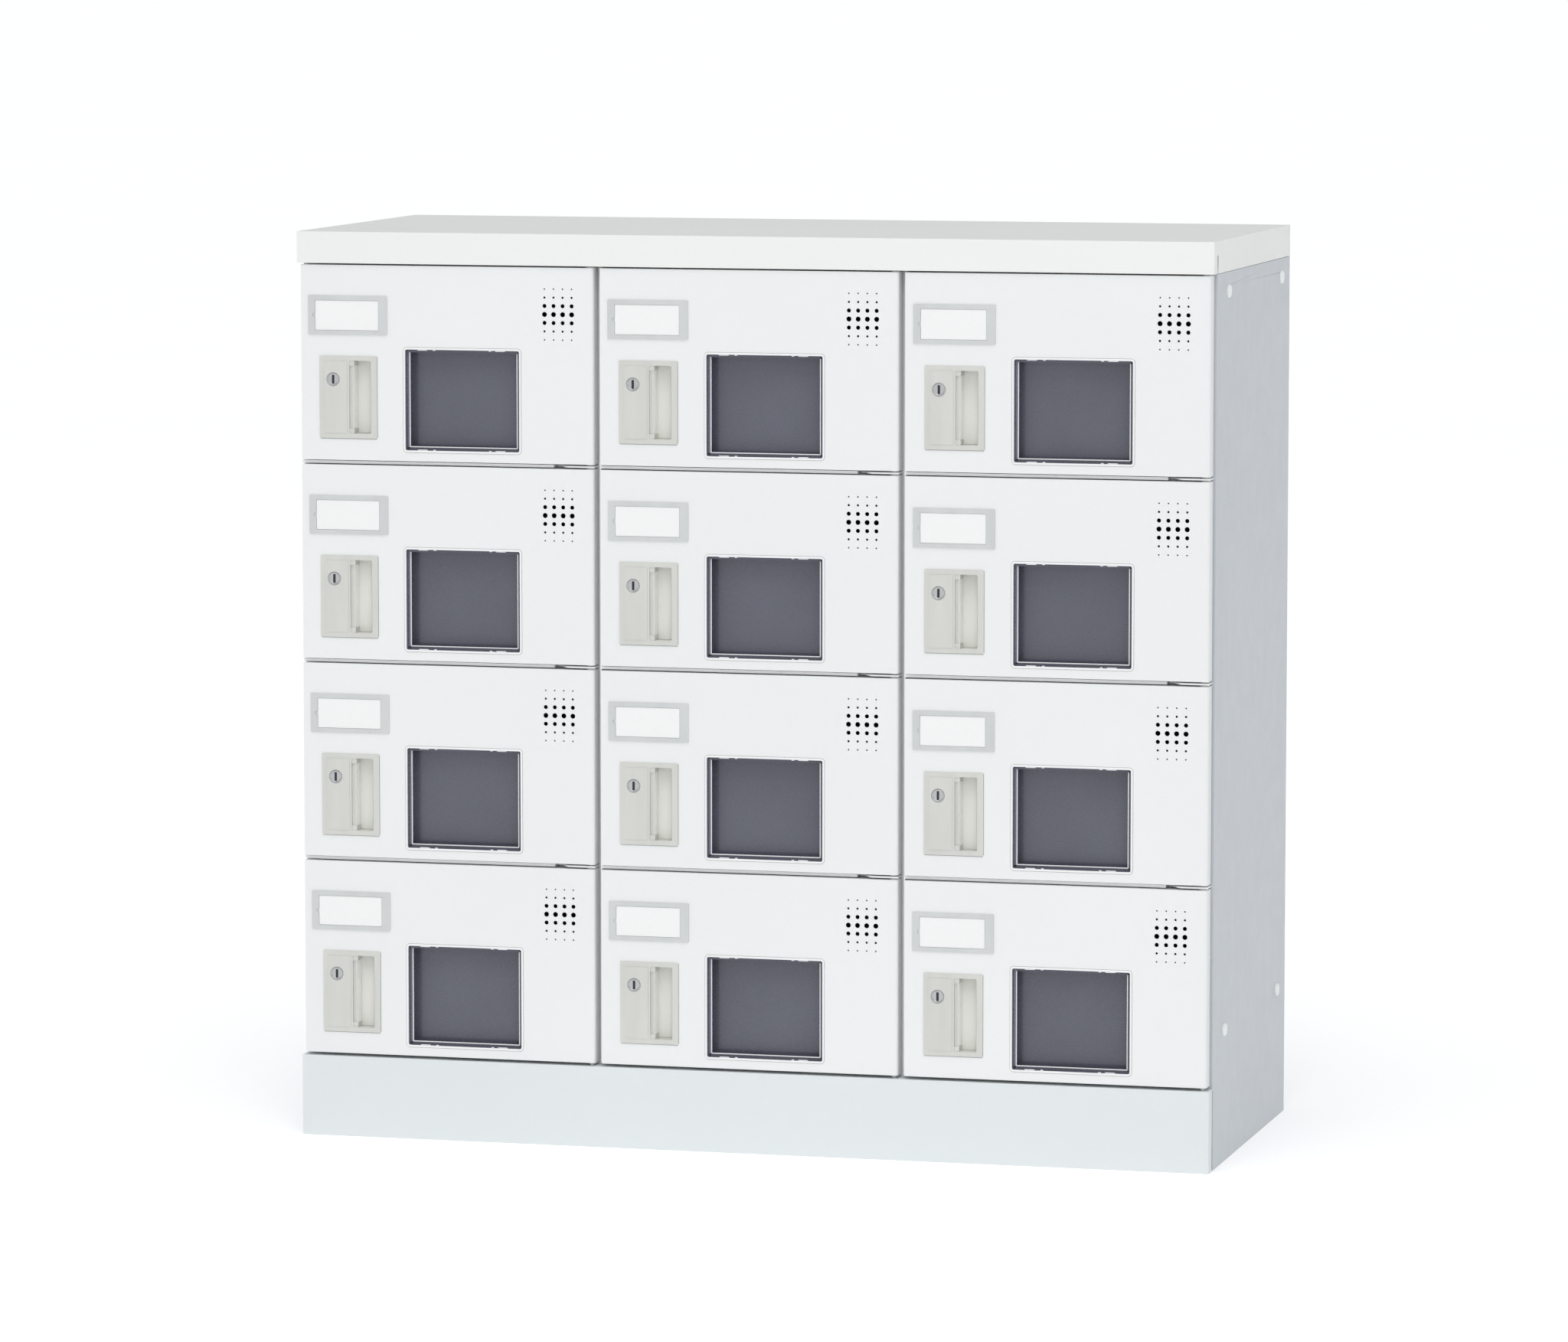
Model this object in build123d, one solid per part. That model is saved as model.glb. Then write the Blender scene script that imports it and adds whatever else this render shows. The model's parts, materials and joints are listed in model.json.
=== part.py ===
"""Counter-height steel locker: three columns of four small doors, each with a key lock, a finger
pull, a name-card frame, a smoked window and vent holes.

Millimetres. X runs to the viewer's right, the doors face -Y, Z is up. The origin is on the floor,
under the middle of the locker.
"""
from build123d import *
import os

os.makedirs("parts", exist_ok=True)

# ---- overall size and layout ----
WIDTH = 900.0
DEPTH = 380.0
HEIGHT = 880.0
COLUMNS = 3
ROWS = 4

FASCIA_HEIGHT = 30.3        # front face of the top cap
PLINTH_HEIGHT = 78.5
TOP_REVEAL = 1.7            # fascia to the top doors
BOTTOM_REVEAL = 3.0         # plinth to the bottom doors
SIDE_REVEAL = 3.5           # outer doors to the fascia's ends
COLUMN_GAP = 7.0            # between doors side by side
ROW_GAP = 4.7               # between doors one above the other

# ---- sheet metal ----
SHEET = 1.0                 # casing, doors and shelves
FRAME_SHEET = 1.5           # front posts and rails
DIVIDER_SHEET = 1.2
CAP_SEAM = 0.5              # between the side panels' top edge and the cap's skirt
WRAP_CLEARANCE = 0.4        # the cap and plinth stand this far outside the side panels' faces
HEM = 6.0                   # inward fold at the side panels' front edge
HEM_RADIUS = 0.9

# ---- doors ----
DOOR_SETBACK = 2.0          # door face behind the fascia's face
DOOR_THICKNESS = 16.0
DOOR_TO_FRAME = 2.0
DOOR_RETURN = 8.0           # inward fold round the back of a door
DOOR_EDGE_RADIUS = 3.0      # rounded bend on the hinge side

# ---- hinges ----
PIN_RADIUS = 2.0
PIN_INSET_X = 5.0           # pin axis in from the door's hinge edge
PIN_INSET_Y = 8.0           # pin axis behind the door's face
PIN_ENGAGEMENT = 7.0        # pin length inside a door
RUNNING_CLEARANCE = 0.05    # radial, pin in bush and lock plug in its case
SEAT_CLEARANCE = 0.02       # radial, pieces that are pressed in and stay put
BUSH_RADIUS = 3.5
BUSH_FLANGE_RADIUS = 4.4
BUSH_FLANGE = 1.0
BUSH_LENGTH = 5.0
PLATE_THICKNESS = 1.6
PLATE_WIDTH = 40.0
PLATE_REACH = 16.5          # hinge plate in front of the frame, at the pin
PLATE_NECK = 5.0            # its reach at the far end of the curved edge
PLATE_CURVE = 16.0          # length of that curve along the plate

# ---- front frame ----
POST_CLEARANCE = 1.0        # between a post and the lock housing that passes it
HINGE_SIDE_LAP = 12.5       # post behind a door at its hinge side
RAIL_HEIGHT = 16.0
SHELF_HEIGHT = 12.0         # folded edge of shelves and bottom panel
TRAY_LIP = 12.0             # upward fold of the inner top

# ---- lock and pull case ----
CASE_LEFT = 18.5            # from the door's left edge
CASE_BOTTOM_SHARE = 0.297   # part of the door's spare height that is under the case
CASE_WIDTH = 58.0
CASE_HEIGHT = 79.5
CASE_PLATE = 1.0            # thickness in front of the door's face
CASE_FIELD = 0.5            # extra height of the field round the lock
CASE_FIELD_INSET = 5.0
CASE_FIELD_WIDTH = 23.0
CASE_RIM = 3.0              # face plate beyond the housing
HOUSING_DEPTH = 20.0        # behind the door's face
CUT_CLEARANCE = 0.3         # hole in a door round what is put into it
POCKET_LEFT = 30.0          # from the case's left edge
POCKET_TOP = 4.5            # from the case's top edge
POCKET_WIDTH = 22.0
POCKET_HEIGHT = 70.5
POCKET_DEPTH = 14.0
POCKET_BLOCK = 5.0          # corner blocks that carry the grip rib
RIB_OFFSET = 2.6            # grip rib from the pocket's left wall
RIB_THICKNESS = 1.6
RIB_SETBACK = 1.4           # rib behind the plate's face

# ---- lock plug ----
PLUG_RADIUS = 6.0
PLUG_FROM_CASE_LEFT = 14.0
PLUG_FROM_CASE_TOP = 22.7
PLUG_PROUD = 0.3
PLUG_BEHIND_CASE = 1.5
KEYWAY_WIDTH = 1.8
KEYWAY_HEIGHT = 7.6
KEYWAY_DEPTH = 5.0
CAM_LENGTH = 20.0
CAM_WIDTH = 10.0
CAM_THICKNESS = 1.6

# ---- name-card frame ----
CARD_LEFT = 7.5             # from the door's left edge
CARD_TOP_SHARE = 0.415      # part of the door's spare height that is over the card frame
CARD_WIDTH = 79.5
CARD_HEIGHT = 37.5
CARD_THICKNESS = 1.2
CARD_OPENING_LEFT = 7.0
CARD_OPENING_TOP = 4.5
CARD_OPENING_WIDTH = 64.0
CARD_OPENING_HEIGHT = 29.0
CARD_RECESS = 0.8
CARD_NICK_RADIUS = 2.5

# ---- window ----
WINDOW_GAP = 16.0           # from the card frame's right edge
WINDOW_CLEARANCE = 0.6      # between the window and the fold under it
WINDOW_WIDTH = 118.0
WINDOW_HEIGHT = 101.0
WINDOW_BORDER = 2.0         # face of the frame
WINDOW_FLANGE = 0.9         # thickness in front of the door's face
WINDOW_WALL = 1.2
WINDOW_CORNER = 3.5
WINDOW_DEPTH = 20.0         # behind the door's face
PANE_THICKNESS = 2.5

# ---- vent holes ----
VENT_RIGHT = 21.4           # last column of holes from the door's right edge
VENT_TOP = 20.5             # first row from the door's top edge
VENT_PITCH_X = 9.0
VENT_PITCH_Z = 8.1
VENT_COLUMNS = 4
VENT_DIAMETERS = (1.5, 2.2, 4.0, 4.9, 4.0, 2.2, 1.5)

# ---- plugs over the joining-bolt holes in the side panels ----
BOLT_HOLE_RADIUS = 5.0
PLUG_HEAD_RADIUS = 6.5
PLUG_HEAD_HEIGHT = 2.5
PLUG_STEM_LENGTH = 4.0
BOLT_FROM_FRONT = (70.0, 335.0)
BOLT_FROM_TOP = 49.0
BOLT_FROM_FLOOR = 128.0

# ---- short returns at the fascia's and plinth's ends ----
END_RETURN = 14.0           # depth of the plinth's and fascia's end returns
SLOT_HEIGHT = 17.0          # open slot behind the fascia's return
FASCIA_LEDGE = 18.0         # inward fold under the fascia
FLOOR_FLANGE = 20.0         # inward fold at the plinth's foot

# ---- worked out from the above ----
LEFT = -WIDTH / 2
FRONT = -DEPTH / 2
BACK = DEPTH / 2
CAP_BOTTOM = HEIGHT - FASCIA_HEIGHT
CASING_TOP = CAP_BOTTOM - CAP_SEAM
CASING_X = WIDTH / 2 - WRAP_CLEARANCE
INNER_X = CASING_X - SHEET
DOOR_FRONT = FRONT + DOOR_SETBACK
DOOR_BACK = DOOR_FRONT + DOOR_THICKNESS
FRAME_FRONT = DOOR_BACK + DOOR_TO_FRAME
FRAME_BACK = FRAME_FRONT + FRAME_SHEET
BACK_INNER = BACK - DIVIDER_SHEET
DOOR_WIDTH = (WIDTH - 2 * SIDE_REVEAL - (COLUMNS - 1) * COLUMN_GAP) / COLUMNS
DOOR_PITCH_X = DOOR_WIDTH + COLUMN_GAP
DOORS_TOP = CAP_BOTTOM - TOP_REVEAL
DOORS_BOTTOM = PLINTH_HEIGHT + BOTTOM_REVEAL
DOOR_HEIGHT = (DOORS_TOP - DOORS_BOTTOM - (ROWS - 1) * ROW_GAP) / ROWS
DOOR_PITCH_Z = DOOR_HEIGHT + ROW_GAP
SPARE_HEIGHT = DOOR_HEIGHT - CARD_HEIGHT - CASE_HEIGHT
CARD_TOP = CARD_TOP_SHARE * SPARE_HEIGHT
CASE_TOP = DOOR_HEIGHT - CASE_HEIGHT - CASE_BOTTOM_SHARE * SPARE_HEIGHT
WINDOW_LEFT = CARD_LEFT + CARD_WIDTH + WINDOW_GAP
WINDOW_TOP = DOOR_HEIGHT - DOOR_RETURN - WINDOW_CLEARANCE - WINDOW_HEIGHT
VENT_LEFT = DOOR_WIDTH - VENT_RIGHT - (VENT_COLUMNS - 1) * VENT_PITCH_X
WINDOW_BACK = DOOR_FRONT + WINDOW_DEPTH
RAIL_LAP = (RAIL_HEIGHT - ROW_GAP) / 2
FLOOR_TOP = DOORS_BOTTOM + RAIL_LAP - (RAIL_HEIGHT - SHELF_HEIGHT) / 2
PIN_Y = DOOR_FRONT + PIN_INSET_Y
PLUG_FRONT = DOOR_FRONT - CASE_PLATE - CASE_FIELD - PLUG_PROUD
PLUG_BACK = DOOR_FRONT + HOUSING_DEPTH + PLUG_BEHIND_CASE


def block(x0, x1, y0, y1, z0, z1):
    """Box between two corners."""
    low = (Align.MIN, Align.MIN, Align.MIN)
    return Pos(x0, y0, z0) * Box(x1 - x0, y1 - y0, z1 - z0, align=low)


def rod_z(x, y, z0, z1, radius):
    """Upright cylinder."""
    low = (Align.CENTER, Align.CENTER, Align.MIN)
    return Pos(x, y, z0) * Cylinder(radius, z1 - z0, align=low)


def rod_y(x, z, y0, y1, radius):
    """Cylinder along Y, from y0 in front to y1 behind."""
    return Pos(x, (y0 + y1) / 2, z) * Rot(90, 0, 0) * Cylinder(radius, y1 - y0)


def rounded_block(x0, x1, y0, y1, z0, z1, radius):
    """Box with its four edges along Y rounded."""
    shape = block(x0, x1, y0, y1, z0, z1)
    return fillet(shape.edges().filter_by(Axis.Y), radius)


def door_left(column):
    return LEFT + SIDE_REVEAL + column * DOOR_PITCH_X


def door_top(row):
    return DOORS_TOP - row * DOOR_PITCH_Z


def boundary_x(boundary):
    """Outer wall, or the middle of the gap between two columns of doors; 0 is the left wall."""
    if boundary in (0, COLUMNS):
        return LEFT + boundary / COLUMNS * WIDTH
    return door_left(boundary) - COLUMN_GAP / 2


def gap_centre(row):
    """Height of the middle of the gap under a row of doors."""
    return door_top(row) - DOOR_HEIGHT - ROW_GAP / 2


def pin_x(column):
    return door_left(column) + DOOR_WIDTH - PIN_INSET_X


def save(name, *solids):
    """One node: a single solid, or a group of separate solids."""
    shape = solids[0] if len(solids) == 1 else Compound(children=list(solids))
    export_step(shape, f"parts/{name}.step")


# ---- casing ----
def top_cap():
    """Inverted tray with a ledge under the fascia, pin holes in the ledge, and an open slot at each
    end behind the fascia's return."""
    cap = block(LEFT, -LEFT, FRONT, BACK, CAP_BOTTOM, HEIGHT)
    cap = fillet(cap.edges().filter_by(Axis.Z), HEM_RADIUS)
    cap -= block(LEFT + SHEET, -LEFT - SHEET, FRONT + SHEET, BACK - SHEET, CAP_BOTTOM, HEIGHT - SHEET)
    ledge_back = FRONT + FASCIA_LEDGE
    cap += block(LEFT + SHEET, -LEFT - SHEET, FRONT + SHEET, ledge_back, CAP_BOTTOM, CAP_BOTTOM + SHEET)
    for column in range(COLUMNS):
        hole_radius = PIN_RADIUS + CUT_CLEARANCE
        cap -= rod_z(pin_x(column), PIN_Y, CAP_BOTTOM, CAP_BOTTOM + SHEET, hole_radius)
    for side in (-1, 1):
        slot = block(-SHEET, SHEET, FRONT + END_RETURN, FRAME_FRONT, CAP_BOTTOM, CAP_BOTTOM + SLOT_HEIGHT)
        cap -= Pos(side * WIDTH / 2, 0, 0) * slot
        edge = sorted((side * (WIDTH / 2 - SHEET), side * (WIDTH / 2 - HEM)))
        cap += block(*edge, FRAME_FRONT, FRAME_FRONT + SHEET, CAP_BOTTOM + SHEET, CAP_BOTTOM + SLOT_HEIGHT)
    return cap


def side_panel(side):
    """Flat sheet from the floor to the cap, folded inward along its front edge."""
    panel = block(INNER_X, CASING_X, FRAME_FRONT, BACK, 0, CASING_TOP)
    panel += block(CASING_X - HEM, CASING_X, FRAME_FRONT, FRAME_FRONT + SHEET, 0, CASING_TOP)
    front_edges = panel.edges().filter_by(Axis.Z).sort_by(Axis.Y)[:2].sort_by(Axis.X)
    panel = fillet(front_edges[-1], HEM_RADIUS)
    for y, z in bolt_places():
        panel -= Pos(CASING_X, y, z) * Rot(0, 90, 0) * Cylinder(BOLT_HOLE_RADIUS, 4 * SHEET)
    return panel if side > 0 else mirror(panel, about=Plane.YZ)


def bolt_places():
    heights = (BOLT_FROM_FLOOR, HEIGHT - BOLT_FROM_TOP)
    return [(FRONT + y, z) for y in BOLT_FROM_FRONT for z in heights]


def bolt_hole_plug(side, y, z):
    """Domed cap with a stem that presses into a bolt hole."""
    head = Cylinder(PLUG_HEAD_RADIUS, PLUG_HEAD_HEIGHT, align=(Align.CENTER, Align.CENTER, Align.MIN))
    head = fillet(head.edges().sort_by(Axis.Z)[-1], PLUG_HEAD_HEIGHT - 0.4)
    stem = rod_z(0, 0, -PLUG_STEM_LENGTH, 0, BOLT_HOLE_RADIUS - SEAT_CLEARANCE)
    return Pos(side * CASING_X, y, z) * Rot(0, side * 90, 0) * (head + stem)


def plinth():
    """Kick plate with folds along its top and foot and short returns at its ends."""
    front = block(-CASING_X, CASING_X, FRONT, FRONT + SHEET, 0, PLINTH_HEIGHT)
    top = block(-CASING_X, CASING_X, FRONT, FRAME_FRONT, PLINTH_HEIGHT - SHEET, PLINTH_HEIGHT)
    foot = block(-CASING_X, CASING_X, FRONT, FRONT + FLOOR_FLANGE, 0, SHEET)
    shape = front + top + foot
    for x in (-CASING_X, CASING_X - SHEET):
        shape += block(x, x + SHEET, FRONT, FRONT + END_RETURN, 0, PLINTH_HEIGHT)
    shape = fillet(shape.edges().filter_by(Axis.Z).sort_by(Axis.Y).group_by(Axis.Y)[0], HEM_RADIUS)
    for column in range(COLUMNS):
        hole_radius = PIN_RADIUS + CUT_CLEARANCE
        shape -= rod_z(pin_x(column), PIN_Y, PLINTH_HEIGHT - SHEET, PLINTH_HEIGHT, hole_radius)
    return shape


def folded_shelf(x0, x1, top):
    """Sheet with its four edges folded down."""
    shelf = block(x0, x1, FRAME_BACK, BACK_INNER, top - SHELF_HEIGHT, top)
    return shelf - block(x0 + SHEET, x1 - SHEET, FRAME_BACK + SHEET, BACK_INNER - SHEET,
                         top - SHELF_HEIGHT, top - SHEET)


def column_span(column):
    """Inner faces of the walls on either side of a column."""
    left = boundary_x(column) + DIVIDER_SHEET / 2
    right = boundary_x(column + 1) - DIVIDER_SHEET / 2
    return max(left, -INNER_X), min(right, INNER_X)


def shelves():
    for column in range(COLUMNS):
        for row in range(ROWS - 1):
            yield folded_shelf(*column_span(column), gap_centre(row) + SHELF_HEIGHT / 2)


def dividers():
    half = DIVIDER_SHEET / 2
    for boundary in range(1, COLUMNS):
        x = boundary_x(boundary)
        yield block(x - half, x + half, FRAME_BACK, BACK_INNER, FLOOR_TOP, CASING_TOP - SHEET)


def inner_top():
    """Ceiling of the top compartments, a tray whose folds stand up inside the cap's skirt."""
    tray = block(-INNER_X, INNER_X, FRAME_BACK, BACK_INNER, CASING_TOP - SHEET, CASING_TOP + TRAY_LIP)
    return tray - block(-INNER_X + SHEET, INNER_X - SHEET, FRAME_BACK + SHEET, BACK_INNER - SHEET,
                        CASING_TOP, CASING_TOP + TRAY_LIP)


def back_panel():
    return block(-INNER_X, INNER_X, BACK_INNER, BACK, 0, CASING_TOP)


def post_span(boundary):
    """Left and right edges of the post at an outer wall or between two columns of doors."""
    left, right = -CASING_X + HEM, CASING_X - HEM
    if boundary > 0:
        left = door_left(boundary - 1) + DOOR_WIDTH - HINGE_SIDE_LAP
    if boundary < COLUMNS:
        right = door_left(boundary) + CASE_LEFT + CASE_RIM - POST_CLEARANCE
    return left, right


def front_frame():
    """Posts at the walls and dividers, and the rails between them."""
    for boundary in range(COLUMNS + 1):
        yield block(*post_span(boundary), FRAME_FRONT, FRAME_BACK, 0, CASING_TOP)
    centres = [gap_centre(row) for row in range(ROWS - 1)]
    heights = [(z - RAIL_HEIGHT / 2, z + RAIL_HEIGHT / 2) for z in centres]
    heights += [(DOORS_TOP - RAIL_LAP, CASING_TOP), (PLINTH_HEIGHT, DOORS_BOTTOM + RAIL_LAP)]
    for column in range(COLUMNS):
        for z0, z1 in heights:
            yield block(post_span(column)[1], post_span(column + 1)[0], FRAME_FRONT, FRAME_BACK, z0, z1)


# ---- hinges ----
def hinge_plate(column, z0):
    """Plate in front of the frame whose front edge curves forward to the pin."""
    right = pin_x(column) + PIN_INSET_X
    left = right - PLATE_WIDTH
    front = FRAME_FRONT - PLATE_REACH
    neck = FRAME_FRONT - PLATE_NECK
    straight = left + PLATE_CURVE
    curve = Spline((left, neck), (straight, front), tangents=((1, 0), (1, 0)))
    outline = Polyline((straight, front), (right, front), (right, FRAME_FRONT),
                       (left, FRAME_FRONT), (left, neck))
    plate = extrude(Pos(0, 0, z0) * make_face(curve + outline), amount=PLATE_THICKNESS, dir=(0, 0, 1))
    hole_radius = PIN_RADIUS + SEAT_CLEARANCE
    return plate - rod_z(pin_x(column), PIN_Y, z0, z0 + PLATE_THICKNESS, hole_radius)


def hinges():
    """Plates with their pins: one between each two doors, one in the cap and one in the plinth."""
    for column in range(COLUMNS):
        levels = [(gap_centre(row) - PLATE_THICKNESS / 2, gap_centre(row) - ROW_GAP / 2 - PIN_ENGAGEMENT,
                   gap_centre(row) + ROW_GAP / 2 + PIN_ENGAGEMENT) for row in range(ROWS - 1)]
        cap_plate = CAP_BOTTOM + SHEET
        levels.append((cap_plate, DOORS_TOP - PIN_ENGAGEMENT, cap_plate + PLATE_THICKNESS))
        foot_plate = PLINTH_HEIGHT - SHEET - PLATE_THICKNESS
        levels.append((foot_plate, foot_plate, DOORS_BOTTOM + PIN_ENGAGEMENT))
        for plate_z, pin_bottom, pin_top in levels:
            yield hinge_plate(column, plate_z)
            yield rod_z(pin_x(column), PIN_Y, pin_bottom, pin_top, PIN_RADIUS)


def hinge_bush(column, edge, inward):
    """Flanged plastic sleeve in a door's top or bottom fold; inward is +1 upward or -1 downward."""
    x = pin_x(column)
    outer = edge - inward * BUSH_FLANGE
    inner = edge + inward * BUSH_LENGTH
    flange = rod_z(x, PIN_Y, min(outer, edge), max(outer, edge), BUSH_FLANGE_RADIUS)
    sleeve = rod_z(x, PIN_Y, min(inner, edge), max(inner, edge), BUSH_RADIUS)
    bore = rod_z(x, PIN_Y, min(outer, inner), max(outer, inner), PIN_RADIUS + RUNNING_CLEARANCE)
    return flange + sleeve - bore


# ---- doors ----
def door_panel(column, row):
    """Folded pan with a rounded bend on the hinge side and openings for what it carries."""
    left, top = door_left(column), door_top(row)
    right, bottom = left + DOOR_WIDTH, top - DOOR_HEIGHT
    pan = block(left, right, DOOR_FRONT, DOOR_BACK, bottom, top)
    upright = pan.edges().filter_by(Axis.Z).group_by(Axis.Y)[0].sort_by(Axis.X)[-1]
    pan = fillet(upright, DOOR_EDGE_RADIUS)
    hollow = block(left + SHEET, right - SHEET, DOOR_FRONT + SHEET, DOOR_BACK - SHEET,
                   bottom + SHEET, top - SHEET)
    inside = hollow.edges().filter_by(Axis.Z).group_by(Axis.Y)[0].sort_by(Axis.X)[-1]
    pan -= fillet(inside, DOOR_EDGE_RADIUS - SHEET)
    pan -= block(left + DOOR_RETURN, right - DOOR_RETURN, DOOR_BACK - SHEET, DOOR_BACK,
                 bottom + DOOR_RETURN, top - DOOR_RETURN)
    pan -= housing(left, top, CUT_CLEARANCE, DOOR_FRONT + SHEET)
    pan -= window_collar(left, top, CUT_CLEARANCE, DOOR_FRONT + SHEET)
    for z0 in (bottom, top - SHEET):
        pan -= rod_z(pin_x(column), PIN_Y, z0, z0 + SHEET, BUSH_RADIUS + SEAT_CLEARANCE)
    for j, diameter in enumerate(VENT_DIAMETERS):
        for i in range(VENT_COLUMNS):
            x = left + VENT_LEFT + i * VENT_PITCH_X
            z = top - VENT_TOP - j * VENT_PITCH_Z
            pan -= rod_y(x, z, DOOR_FRONT, DOOR_FRONT + SHEET, diameter / 2)
    return pan


def housing(left, top, margin, back):
    """Body of the lock and pull case behind the door's face, grown by a margin."""
    x0 = left + CASE_LEFT + CASE_RIM - margin
    x1 = left + CASE_LEFT + CASE_WIDTH - CASE_RIM + margin
    z0 = top - CASE_TOP - CASE_HEIGHT + CASE_RIM - margin
    z1 = top - CASE_TOP - CASE_RIM + margin
    return block(x0, x1, DOOR_FRONT, back, z0, z1)


def lock_case(left, top):
    """Moulded plate and housing with the finger pocket, its grip rib and the bore for the lock."""
    x0, z1 = left + CASE_LEFT, top - CASE_TOP
    plate_front = DOOR_FRONT - CASE_PLATE
    case = rounded_block(x0, x0 + CASE_WIDTH, plate_front, DOOR_FRONT, z1 - CASE_HEIGHT, z1, 1.0)
    case += housing(left, top, 0, DOOR_FRONT + HOUSING_DEPTH)
    field_left = x0 + CASE_FIELD_INSET
    case += rounded_block(field_left, field_left + CASE_FIELD_WIDTH, plate_front - CASE_FIELD, plate_front,
                          z1 - CASE_HEIGHT + CASE_FIELD_INSET, z1 - CASE_FIELD_INSET, 1.0)
    pocket_x, pocket_z = x0 + POCKET_LEFT, z1 - POCKET_TOP
    pocket_back = plate_front + POCKET_DEPTH
    case -= rounded_block(pocket_x, pocket_x + POCKET_WIDTH, plate_front, pocket_back,
                          pocket_z - POCKET_HEIGHT, pocket_z, 1.5)
    for z in (pocket_z - POCKET_BLOCK, pocket_z - POCKET_HEIGHT):
        case += block(pocket_x, pocket_x + POCKET_BLOCK, plate_front + RIB_SETBACK / 2, pocket_back,
                      z, z + POCKET_BLOCK)
    rib_x = pocket_x + RIB_OFFSET
    case += block(rib_x, rib_x + RIB_THICKNESS, plate_front + RIB_SETBACK, pocket_back,
                  pocket_z - POCKET_HEIGHT + POCKET_BLOCK, pocket_z - POCKET_BLOCK)
    plug_x, plug_z = plug_centre(left, top)
    return case - rod_y(plug_x, plug_z, plate_front - CASE_FIELD, DOOR_FRONT + HOUSING_DEPTH,
                        PLUG_RADIUS + RUNNING_CLEARANCE)


def plug_centre(left, top):
    return left + CASE_LEFT + PLUG_FROM_CASE_LEFT, top - CASE_TOP - PLUG_FROM_CASE_TOP


def card_frame(left, top):
    """Shallow frame on the door's face that holds a name card, with a thumb nick."""
    x0, z1 = left + CARD_LEFT, top - CARD_TOP
    front = DOOR_FRONT - CARD_THICKNESS
    frame = rounded_block(x0, x0 + CARD_WIDTH, front, DOOR_FRONT, z1 - CARD_HEIGHT, z1, 1.0)
    open_x, open_z = x0 + CARD_OPENING_LEFT, z1 - CARD_OPENING_TOP
    floor = front + CARD_RECESS
    frame -= block(open_x, open_x + CARD_OPENING_WIDTH, front, floor, open_z - CARD_OPENING_HEIGHT, open_z)
    return frame - rod_y(open_x, open_z - CARD_OPENING_HEIGHT / 2, front, floor, CARD_NICK_RADIUS)


def lock_plug(left, top):
    """Chrome plug with a keyway and, at its rear, the cam that hangs down when unlocked."""
    x, z = plug_centre(left, top)
    plug = rod_y(x, z, PLUG_FRONT, PLUG_BACK, PLUG_RADIUS)
    plug -= block(x - KEYWAY_WIDTH / 2, x + KEYWAY_WIDTH / 2, PLUG_FRONT, PLUG_FRONT + KEYWAY_DEPTH,
                  z - KEYWAY_HEIGHT / 2, z + KEYWAY_HEIGHT / 2)
    half = CAM_WIDTH / 2
    cam_back = PLUG_BACK + CAM_THICKNESS
    plug += rod_y(x, z, PLUG_BACK, cam_back, PLUG_RADIUS)
    plug += block(x - half, x + half, PLUG_BACK, cam_back, z - CAM_LENGTH + half, z)
    return plug + rod_y(x, z - CAM_LENGTH + half, PLUG_BACK, cam_back, half)


def window_edges(left, top, inset):
    """Left, right, bottom and top edges of the window's outline, drawn in by an inset."""
    x0, z1 = left + WINDOW_LEFT, top - WINDOW_TOP
    return x0 + inset, x0 + WINDOW_WIDTH - inset, z1 - WINDOW_HEIGHT + inset, z1 - inset


def window_collar(left, top, margin, back):
    """Outer shape of the window's walls through the door, grown by a margin."""
    inset = WINDOW_BORDER - WINDOW_WALL - margin
    x0, x1, z0, z1 = window_edges(left, top, inset)
    return rounded_block(x0, x1, DOOR_FRONT, back, z0, z1, WINDOW_CORNER - inset)


def window_frame(left, top):
    """Moulded frame: a thin flange on the door's face and walls that run back to the pane."""
    front = DOOR_FRONT - WINDOW_FLANGE
    x0, x1, z0, z1 = window_edges(left, top, 0)
    frame = rounded_block(x0, x1, front, DOOR_FRONT, z0, z1, WINDOW_CORNER)
    frame += window_collar(left, top, 0, WINDOW_BACK)
    x0, x1, z0, z1 = window_edges(left, top, WINDOW_BORDER)
    return frame - block(x0, x1, front, WINDOW_BACK, z0, z1)


def window_pane(left, top):
    """Smoked sheet at the back of the frame."""
    x0, x1, z0, z1 = window_edges(left, top, WINDOW_BORDER + SEAT_CLEARANCE)
    return block(x0, x1, WINDOW_BACK - PANE_THICKNESS, WINDOW_BACK, z0, z1)


def save_door(column, row):
    left, top = door_left(column), door_top(row)
    place = f"r{row + 1}c{column + 1}"
    bushes = [hinge_bush(column, top - DOOR_HEIGHT, 1), hinge_bush(column, top, -1)]
    save(f"door_panel_{place}", door_panel(column, row))
    save(f"lock_case_{place}", lock_case(left, top), card_frame(left, top), *bushes)
    save(f"window_{place}", window_frame(left, top), window_pane(left, top))
    save(f"lock_plug_{place}", lock_plug(left, top))


save("top_cap", top_cap())
save("side_panel_left", side_panel(-1))
save("side_panel_right", side_panel(1))
save("bolt_hole_plugs", *[bolt_hole_plug(side, y, z) for side in (-1, 1) for y, z in bolt_places()])
save("plinth", plinth())
save("shelves", *shelves())
save("bottom_panel", folded_shelf(-INNER_X, INNER_X, FLOOR_TOP))
save("dividers", *dividers())
save("inner_top", inner_top())
save("back_panel", back_panel())
save("front_frame", *front_frame())
save("hinges", *hinges())
for each_row in range(ROWS):
    for each_column in range(COLUMNS):
        save_door(each_column, each_row)
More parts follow.
